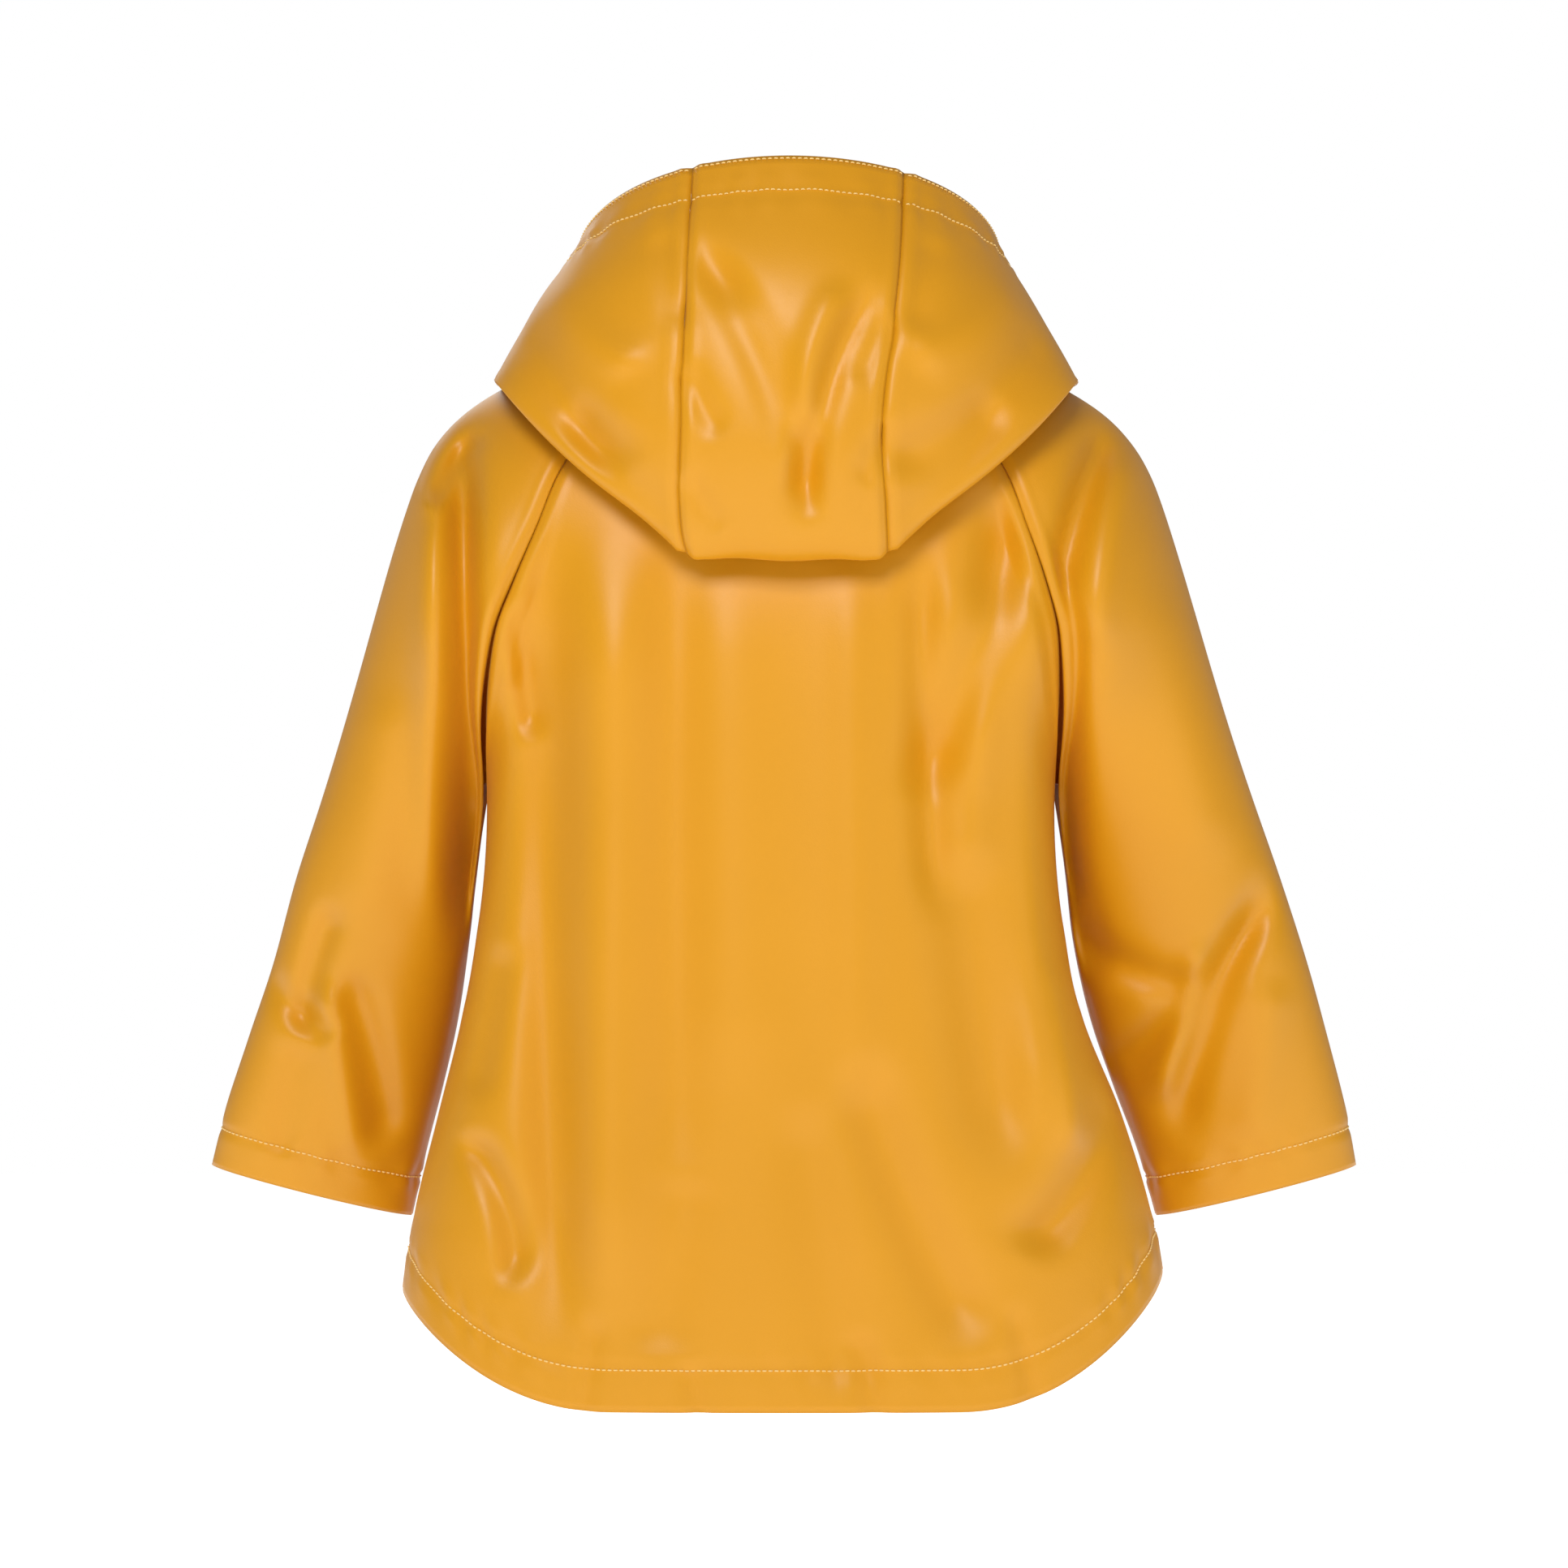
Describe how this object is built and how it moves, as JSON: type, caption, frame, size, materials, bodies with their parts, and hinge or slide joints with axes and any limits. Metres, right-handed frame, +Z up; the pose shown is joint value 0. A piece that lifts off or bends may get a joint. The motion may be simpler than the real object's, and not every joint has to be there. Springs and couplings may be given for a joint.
{
  "type": "raincoat",
  "caption": "Child's hooded raincoat in coated cloth with raglan sleeves, a shirt-tail hem and a snap front, filled out as if worn, with the hood lying down at the back",
  "frame": {"origin": "the middle of the neck opening, at the level of the base of the wearer's neck, where the coat hangs from the wearer's shoulders", "axes": "+Z up, the wearer faces -Y, the wearer's left is +X"},
  "size_m": [0.574, 0.2503, 0.599],
  "materials": {
    "coated_cloth": "smooth waterproof coating, mustard yellow, with a soft sheen",
    "snap_enamel": "enamel to match the cloth"
  },
  "bodies": {
    "root": {"back": "coated_cloth", "front_left": "coated_cloth", "front_right": "coated_cloth", "sleeve_left": "coated_cloth", "sleeve_right": "coated_cloth", "hood_middle": "coated_cloth", "hood_left": "coated_cloth", "hood_right": "coated_cloth", "snap_1": "snap_enamel", "snap_2": "snap_enamel", "snap_3": "snap_enamel", "snap_4": "snap_enamel", "snap_5": "snap_enamel"}
  },
  "joints": []
}
